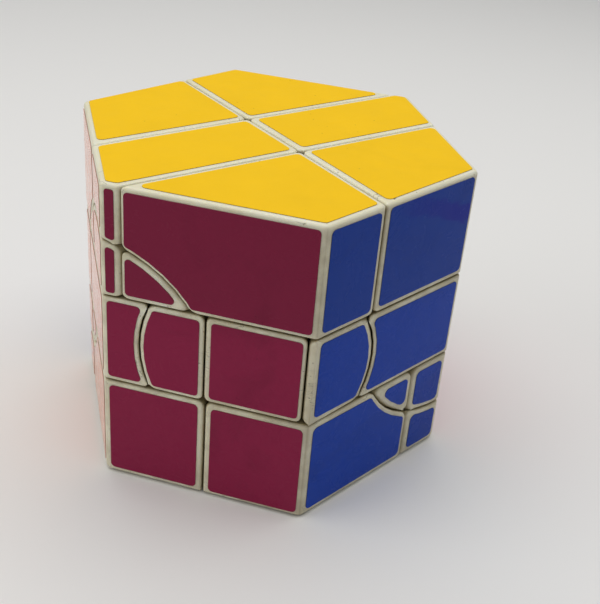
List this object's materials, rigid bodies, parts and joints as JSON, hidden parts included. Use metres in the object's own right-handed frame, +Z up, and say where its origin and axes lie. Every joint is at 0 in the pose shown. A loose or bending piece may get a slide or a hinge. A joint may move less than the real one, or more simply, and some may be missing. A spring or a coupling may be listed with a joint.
{
  "type": "twisty puzzle",
  "caption": "Hexagonal prism twisty puzzle with three stacked layers, cut by a turned grid and a circle, whose end layers turn about the middle axis.",
  "frame": {"origin": "centre of the lower layer's bottom face, on the middle axis", "axes": "+Z up along the middle axis, +X through a corner edge of the hexagon, -Y out of the face that is crimson and turned to the viewer"},
  "size_m": [0.0832, 0.072, 0.0646],
  "materials": {
    "ivory_plastic": "moulded ivory plastic with a soft sheen and rounded edges",
    "white_nylon": "moulded white nylon",
    "zinc_steel": "bright zinc-plated steel",
    "spring_steel": "drawn spring wire"
  },
  "bodies": {
    "core_and_middle_layer": {"middle_outer_edge_front_left": "ivory_plastic", "middle_inner_edge_front_left": "ivory_plastic", "middle_outer_edge_front_right": "ivory_plastic", "middle_inner_edge_front_right": "ivory_plastic", "middle_centre_front": "ivory_plastic", "middle_centre_cap_front": "ivory_plastic", "middle_outer_edge_back_left": "ivory_plastic", "middle_inner_edge_back_left": "ivory_plastic", "middle_outer_edge_back_right": "ivory_plastic", "middle_inner_edge_back_right": "ivory_plastic", "middle_centre_back": "ivory_plastic", "middle_centre_cap_back": "ivory_plastic", "core": "white_nylon", "upper_screw": "zinc_steel", "lower_screw": "zinc_steel", "side_left_hub": "white_nylon", "side_left_screw": "zinc_steel", "side_left_spring": "spring_steel", "side_right_hub": "white_nylon", "side_right_screw": "zinc_steel", "side_right_spring": "spring_steel", "centre_front_screw": "zinc_steel", "centre_front_spring": "spring_steel", "centre_back_screw": "zinc_steel", "centre_back_spring": "spring_steel"},
    "upper_layer": {"upper_outer_corner_front_left": "ivory_plastic", "upper_inner_corner_front_left": "ivory_plastic", "upper_outer_corner_front_right": "ivory_plastic", "upper_inner_corner_front_right": "ivory_plastic", "upper_outer_edge_front": "ivory_plastic", "upper_inner_edge_front": "ivory_plastic", "upper_outer_corner_back_left": "ivory_plastic", "upper_inner_corner_back_left": "ivory_plastic", "upper_outer_corner_back_right": "ivory_plastic", "upper_inner_corner_back_right": "ivory_plastic", "upper_outer_edge_back": "ivory_plastic", "upper_inner_edge_back": "ivory_plastic", "upper_hub": "white_nylon", "upper_spring": "spring_steel"},
    "lower_layer": {"lower_outer_corner_front_left": "ivory_plastic", "lower_inner_corner_front_left": "ivory_plastic", "lower_outer_corner_front_right": "ivory_plastic", "lower_inner_corner_front_right": "ivory_plastic", "lower_outer_edge_front": "ivory_plastic", "lower_inner_edge_front": "ivory_plastic", "lower_outer_corner_back_left": "ivory_plastic", "lower_inner_corner_back_left": "ivory_plastic", "lower_outer_corner_back_right": "ivory_plastic", "lower_inner_corner_back_right": "ivory_plastic", "lower_outer_edge_back": "ivory_plastic", "lower_inner_edge_back": "ivory_plastic", "lower_hub": "white_nylon", "lower_spring": "spring_steel"}
  },
  "joints": [
    {"name": "upper_layer_turn", "type": "hinge", "parent": "core_and_middle_layer", "child": "upper_layer", "pos_m": [0, 0, 0.0418], "axis": [0, 0, 1], "continuous": true},
    {"name": "lower_layer_turn", "type": "hinge", "parent": "core_and_middle_layer", "child": "lower_layer", "pos_m": [0, 0, 0.0228], "axis": [0, 0, 1], "continuous": true}
  ]
}
